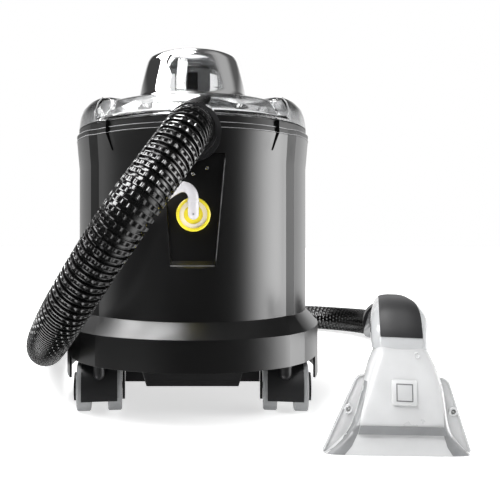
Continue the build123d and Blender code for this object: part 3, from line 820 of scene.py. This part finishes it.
def handle_skin(name, t0, t1, a0, a1, lift, wall, mat, cad=(), rows=60, cols=28, power=2.9):
    """Part of the handle's shell between two angles from its outer side, lifted from the loft by lift."""
    verts = []
    for layer in (lift, lift - wall):
        for i in range(rows + 1):
            u, z, tilt, half_w, half_h = spine_at(t0 + (t1 - t0) * i / rows)
            tip = radians(tilt)
            for j in range(cols + 1):
                a = radians(a0 + (a1 - a0) * j / cols)
                w = (half_w + layer) * squared(sin(a), power)
                h = (half_h + layer) * squared(cos(a), power)
                verts.append(on_nozzle(w * MM, (u - h * cos(tip)) * MM, (z + h * sin(tip)) * MM))
    skin = add_mesh(name, verts, shell_faces(rows + 1, cols + 1), mat, angle=40.0)
    if cad:
        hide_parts(*cad)
    return skin


def make_handle():
    """Two pale shells, a dark cover over them, a pale brow in front and a dark lining under the cover."""
    pale, dark = MAT["grip_side"], MAT["grip_top"]
    handle_skin("handle_shell_right", 0.0, 1.0, 38.0, 179.0, 0.0, 2.4, pale, ("handle_right",))
    shell = handle_skin("handle_shell_left", 0.0, 1.0, -179.0, -38.0, 0.0, 2.4, pale, ("handle_left",))
    low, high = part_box("valve_plunger")
    spare = 0.004
    left, right, foot, top = low[0] - spare, high[0] + spare, low[2] - spare, high[2] + spare
    verts, faces = prism_y([(left, foot), (right, foot), (right, top), (left, top)], low[1] - spare, high[1] + spare)
    cut(shell, verts, faces)
    handle_skin("handle_brow", 0.0, 0.13, -37.0, 37.0, 0.0, 2.0, pale, rows=10)
    handle_skin("handle_cover", 0.112, 0.90, -35.5, 35.5, 0.7, 2.6, dark, ("grip_cover",))
    handle_skin("handle_lining", 0.05, 1.0, -60.0, 60.0, -2.5, 1.0, MAT["trim_black"])


PIN_U = 0.112                # the trigger's pin behind the mouth, along the tool
EAR_R = 0.0062


def make_trigger_ears():
    """Two ears under the grip that hold the trigger's pin at its ends."""
    low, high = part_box("trigger_pin")
    reach = (high[0] - low[0]) / 2 / 0.9659 - 0.0012
    z0 = (low[2] + high[2]) / 2
    outline = [(PIN_U + EAR_R * cos(pi + pi * k / 12), z0 + EAR_R * sin(pi + pi * k / 12)) for k in range(13)]
    outline += [(PIN_U + 0.0105, z0 + 0.03), (PIN_U - 0.0105, z0 + 0.03)]
    for tag, side in (("left", -1), ("right", 1)):
        verts = [on_tool(side * reach + w, u, z) for w in (-0.0014, 0.0014) for u, z in outline]
        add_mesh("trigger_ear_" + tag, verts, slab_faces(len(outline)), MAT["grip_side"], angle=30.0)


make_hood()
make_handle()
make_trigger_ears()


# ---- CAD shapes with their edges eased ----
def eased(node, width, mat, body="machine", angle=24.0):
    """A copy of a node's mesh with small radii on its edges; it stands for the node."""
    source = NODES[node]
    mesh = source.data.copy()
    mesh.materials.clear()
    mesh.materials.append(mat)
    mesh.name = node + "_eased"
    copy = bpy.data.objects.new(node + "_eased", mesh)
    bpy.context.scene.collection.objects.link(copy)
    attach(copy, body)
    weld = copy.modifiers.new("weld", "WELD")
    weld.merge_threshold = 0.00001
    shaped(copy)
    round_edges(copy, width, angle=angle)
    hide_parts(node)
    return copy


# the flat strips at the casing's corners, from the skirt to the rim
STRIP_LOW, STRIP_HIGH, STRIP_R = (0.1155, 0.088, 0.118), (0.1288, 0.0985, 0.3405), 0.150
casing = eased("outer_casing", 0.0009, MAT["body_black"], angle=9.0)
casing.data.materials.append(MAT["bevel_black"])
for face in casing.data.polygons:
    x, y, z = (abs(c) for c in face.center)
    if all(a < c < b for a, c, b in zip(STRIP_LOW, (x, y, z), STRIP_HIGH)) and sqrt(x * x + y * y) > STRIP_R:
        face.material_index = 1

eased("recovery_tank", 0.0008, MAT["bevel_black"], angle=9.0)
eased("rim_gasket", 0.0006, MAT["bevel_black"], angle=9.0)
eased("base_chassis", 0.0008, MAT["trim_black"], angle=12.0)
for place in ("front_left", "front_right", "rear_left", "rear_right"):
    for side in ("a", "b"):
        eased("wheel_%s_%s" % (place, side), 0.0024, MAT["tread_grey"], "roller_%s_%s" % (place, side))


# ---- small marks on the casing, painted shade and painted highlights among them ----
CASE_R, SHOULDER_Z, CASE_TOP_Z, RIM_R = 151.5, 304.0, 341.4, 155.4


def front_radius(z):
    """Radius of the casing's round front at height z, in millimetres."""
    if z > CASE_TOP_Z:
        return RIM_R
    return CASE_R + max(0.0, z - SHOULDER_Z) * 2.5 / 37.4


def on_round(outline, proud, thick, name, mat):
    """Thin piece following the casing's round front: outline of (x, z) points, standing proud by so much."""
    n = len(outline)
    verts = []
    for step in (proud, proud - thick):
        for x, z in outline:
            r = front_radius(z) + step
            verts.append((x * MM, -sqrt(r * r - x * x) * MM, z * MM))
    faces = [tuple(range(n)), tuple(reversed(range(n, 2 * n)))]
    faces += [((i + 1) % n, i, n + i, n + (i + 1) % n) for i in range(n)]
    return add_mesh(name, verts, faces, mat)


def rim_line(name, z, front, side, tall=0.0006):
    """Thin pale ring of painted highlight round the rim, following its plan."""
    count = 360
    verts = []
    for step, level in ((0.0, z - tall), (0.0, z), (-0.0012, z), (-0.0012, z - tall)):
        for k in range(count):
            a = 2 * pi * k / count
            t = side_share(360.0 * k / count, 50.0, 55.0)
            r = front + (side - front) * t + step
            verts.append((r * sin(a), -r * cos(a), level))
    add_mesh(name, verts, strip_faces(4, count, close_rows=True), MAT["rim_line"])


def make_marks():
    """Dark wedges of painted shade at the creases on the rim's corners, and pale lines of painted highlight round
    the rim and along the pocket's edges.
    """
    # dark wedges stuck on at the rim's corner creases: painted shade
    wedge_low = [(95.3, 319.5), (96.7, 319.5), (105.6, 341.2), (101.6, 341.2)]
    wedge_high = [(101.4, 342.0), (105.4, 342.0), (105.0, 356.6), (101.8, 356.6)]
    for tag, sign in (("left", -1), ("right", 1)):
        for part, points in (("low", wedge_low), ("high", wedge_high)):
            name = "crease_%s_%s" % (part, tag)
            on_round(sided(points, sign), 0.35, 1.6, name, MAT["dead_black"])
    # pale strips along the pocket's right edge and its bottom ledge: painted highlight
    right_edge = [(26.6, 188.0), (27.6, 188.0), (38.4, 306.0), (37.0, 306.0)]
    on_round(right_edge, 0.25, 1.2, "pocket_highlight_right", MAT["edge_highlight"])
    # the two pale rings round the rim: painted highlight between its black bands
    rim_line("rim_highlight_top", 0.3484, 0.1543, 0.1591)
    rim_line("rim_highlight_low", 0.3424, 0.1545, 0.1593)
    steps = 12
    ledge = [(-26.0 + 51.0 * i / steps, 181.4) for i in range(steps + 1)]
    ledge += [(25.0 - 51.0 * i / steps, 182.8) for i in range(steps + 1)]
    on_round(ledge, 0.25, 1.2, "pocket_highlight_low", MAT["edge_highlight"])


def tub_highlight_lines():
    """Two upright pale lines of painted highlight at joints on the front of the tub under the skirt."""
    mesh = NODES["base_chassis"].data
    tub = BVHTree.FromPolygons([v.co for v in mesh.vertices], [tuple(p.vertices) for p in mesh.polygons])
    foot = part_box("base_chassis")[0][2]
    for tag, x in (("left", -0.040), ("right", 0.040)):
        points = []
        for z in [foot + 0.001 + 0.003 * k for k in range(8)]:
            at = tub.ray_cast(Vector((x, -1.0, z)), Vector((0.0, 1.0, 0.0)))[0]
            if at and (not points or abs(at.y - points[-1][0]) < 0.004):
                points.append((at.y, z))
        verts = []
        for y, z in points:
            for dx, dy in ((-0.0005, -0.0004), (0.0005, -0.0004), (0.0005, 0.0008), (-0.0005, 0.0008)):
                verts.append((x + dx, y + dy, z))
        faces = strip_faces(len(points), 4)
        faces.append((3, 2, 1, 0))
        faces.append(tuple(range(len(verts) - 4, len(verts))))
        add_mesh("tub_highlight_line_" + tag, verts, faces, MAT["edge_highlight"])


def make_pocket_screws():
    """Two small round heads on the pocket's back."""
    low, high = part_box("pocket_screws")
    inset = 0.0036
    front = low[1]
    for number, (x, z) in enumerate(((low[0] + inset, low[2] + inset), (high[0] - inset, high[2] - inset))):
        verts = []
        for r, y in ((0.0021, front + 0.0022), (0.0021, front + 0.0006), (0.0015, front), (0.0008, front + 0.0007)):
            verts += [(x + r * cos(2 * pi * k / 24), y, z + r * sin(2 * pi * k / 24)) for k in range(24)]
        faces = strip_faces(4, 24)
        faces.append(tuple(range(72, 96)))
        faces.append(tuple(reversed(range(24))))
        head = add_mesh("pocket_screw_%d" % number, verts, faces, MAT["steel"])
        if number == 0:
            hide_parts("pocket_screws")


make_marks()
tub_highlight_lines()
make_pocket_screws()

# ---- CAD nodes that keep their shape ----
SLOT_OF = {row["node"]: row["material_slot"] for row in frame["record"]["subparts"]}
for node, obj in NODES.items():
    mat = MAT[SLOT_OF[node]]
    if obj.data.materials:
        for k in range(len(obj.data.materials)):
            obj.data.materials[k] = mat
    else:
        obj.data.materials.append(mat)

# ---- floor, light and surroundings ----
floor_mesh = bpy.data.meshes.new("floor")
floor_mesh.from_pydata([(-6, -6, 0), (6, -6, 0), (6, 6, 0), (-6, 6, 0)], [], [(0, 1, 2, 3)])
floor = bpy.data.objects.new("floor", floor_mesh)
floor.location.z = -0.0005
bpy.context.scene.collection.objects.link(floor)
pale = plastic("floor_pale", (0.93, 0.93, 0.93), 0.8, bump=0.0, tint=0.01)
glow = pale.node_tree.nodes["Principled BSDF"]
glow.inputs["Emission Color"].default_value = (1.0, 1.0, 1.0, 1.0)
glow.inputs["Emission Strength"].default_value = 0.62
floor.data.materials.append(pale)
# neither the floor nor the tool shows in the casing's gloss
floor.visible_glossy = False
for obj in bpy.data.objects:
    if obj.name.startswith(("hood_", "handle_", "wing_")):
        obj.visible_glossy = False


def softbox(name, at, toward, width, height, watts):
    """A soft area light at one point, facing another."""
    data = bpy.data.lights.new(name, "AREA")
    data.shape = "RECTANGLE"
    data.size = width
    data.size_y = height
    data.energy = watts
    obj = bpy.data.objects.new(name, data)
    obj.location = at
    obj.rotation_euler = (Vector(toward) - Vector(at)).to_track_quat("-Z", "Y").to_euler()
    bpy.context.scene.collection.objects.link(obj)


softbox("left_box", (-0.47, -0.96, 1.15), (0.0, 0.0, 0.35), 0.42, 0.5, 9.0)
softbox("far_left_box", (-1.05, -0.35, 1.0), (-0.1, -0.15, 0.25), 0.6, 0.45, 9.0)
softbox("overhead_box", (-0.20, 0.06, 1.45), (-0.05, 0.0, 0.2), 0.42, 0.45, 12.5)
softbox("overhead_left_box", (-0.86, 0.06, 1.36), (-0.1, 0.0, 0.2), 0.8, 0.45, 9.0)

world = bpy.data.worlds.new("studio")
world.use_nodes = True
bpy.context.scene.world = world
tree = world.node_tree
air = tree.nodes["Background"]
way = tree.nodes.new("ShaderNodeTexCoord")
axes = tree.nodes.new("ShaderNodeSeparateXYZ")
link(tree, way, "Generated", axes, "Vector")


def fading(axis, low, high, at_low, at_high):
    """Brightness that goes smoothly from one value to another along an axis of the surroundings."""
    node = tree.nodes.new("ShaderNodeMapRange")
    node.interpolation_type = "SMOOTHSTEP"
    node.inputs["From Min"].default_value = low
    node.inputs["From Max"].default_value = high
    node.inputs["To Min"].default_value = at_low
    node.inputs["To Max"].default_value = at_high
    link(tree, axes, axis, node, "Value")
    return node.outputs["Result"]


def joined(kind, a, b):
    """Two brightnesses put together by MULTIPLY or MAXIMUM."""
    node = tree.nodes.new("ShaderNodeMath")
    node.operation = kind
    tree.links.new(a, node.inputs[0])
    tree.links.new(b, node.inputs[1])
    return node.outputs[0]


# dark in front, a lit wall at the right, a dim one at the left, white straight behind and overhead
right_wall = joined("MULTIPLY", fading("Y", -0.72, -0.1, 0.0, 1.0), fading("Y", 0.1, 0.4, 1.0, 0.25))
right_wall = joined("MULTIPLY", right_wall, fading("X", 0.1, 0.6, 0.0, 6.2))
left_wall = joined("MULTIPLY", fading("Y", -0.35, 0.25, 0.0, 1.0), fading("X", -0.6, -0.1, 0.8, 0.0))
walls = joined("MULTIPLY", joined("MAXIMUM", right_wall, left_wall), fading("Z", 0.18, 0.42, 1.0, 0.06))
walls = joined("MULTIPLY", walls, fading("Z", -0.34, -0.22, 0.3, 1.0))
overhead = joined("MULTIPLY", fading("X", -0.24, 0.16, 3.0, 0.1), fading("Z", 0.72, 0.93, 0.0, 1.0))
behind = fading("Y", 0.72, 0.93, 0.05, 1.0)
low_sides = joined("MAXIMUM", fading("X", -0.6, -0.25, 1.0, 0.0), fading("X", 0.25, 0.6, 0.0, 1.0))
low_sides = joined("MULTIPLY", low_sides, fading("Z", -0.55, -0.3, 3.0, 0.0))
low_sides = joined("MULTIPLY", low_sides, fading("X", -0.3, 0.5, 1.0, 0.15))
total = joined("MAXIMUM", joined("MAXIMUM", walls, overhead), joined("MAXIMUM", behind, low_sides))
tree.links.new(total, air.inputs["Color"])
air.inputs["Strength"].default_value = 1.0
seen = tree.nodes.new("ShaderNodeBackground")
seen.inputs["Color"].default_value = (1.0, 1.0, 1.0, 1.0)
seen.inputs["Strength"].default_value = 1.0
paths = tree.nodes.new("ShaderNodeLightPath")
mixed = tree.nodes.new("ShaderNodeMixShader")
link(tree, paths, "Is Camera Ray", mixed, 0)
link(tree, air, "Background", mixed, 1)
link(tree, seen, "Background", mixed, 2)
link(tree, mixed, "Shader", tree.nodes["World Output"], "Surface")
bpy.context.scene.view_settings.view_transform = "Standard"
bpy.context.scene.view_settings.look = "None"
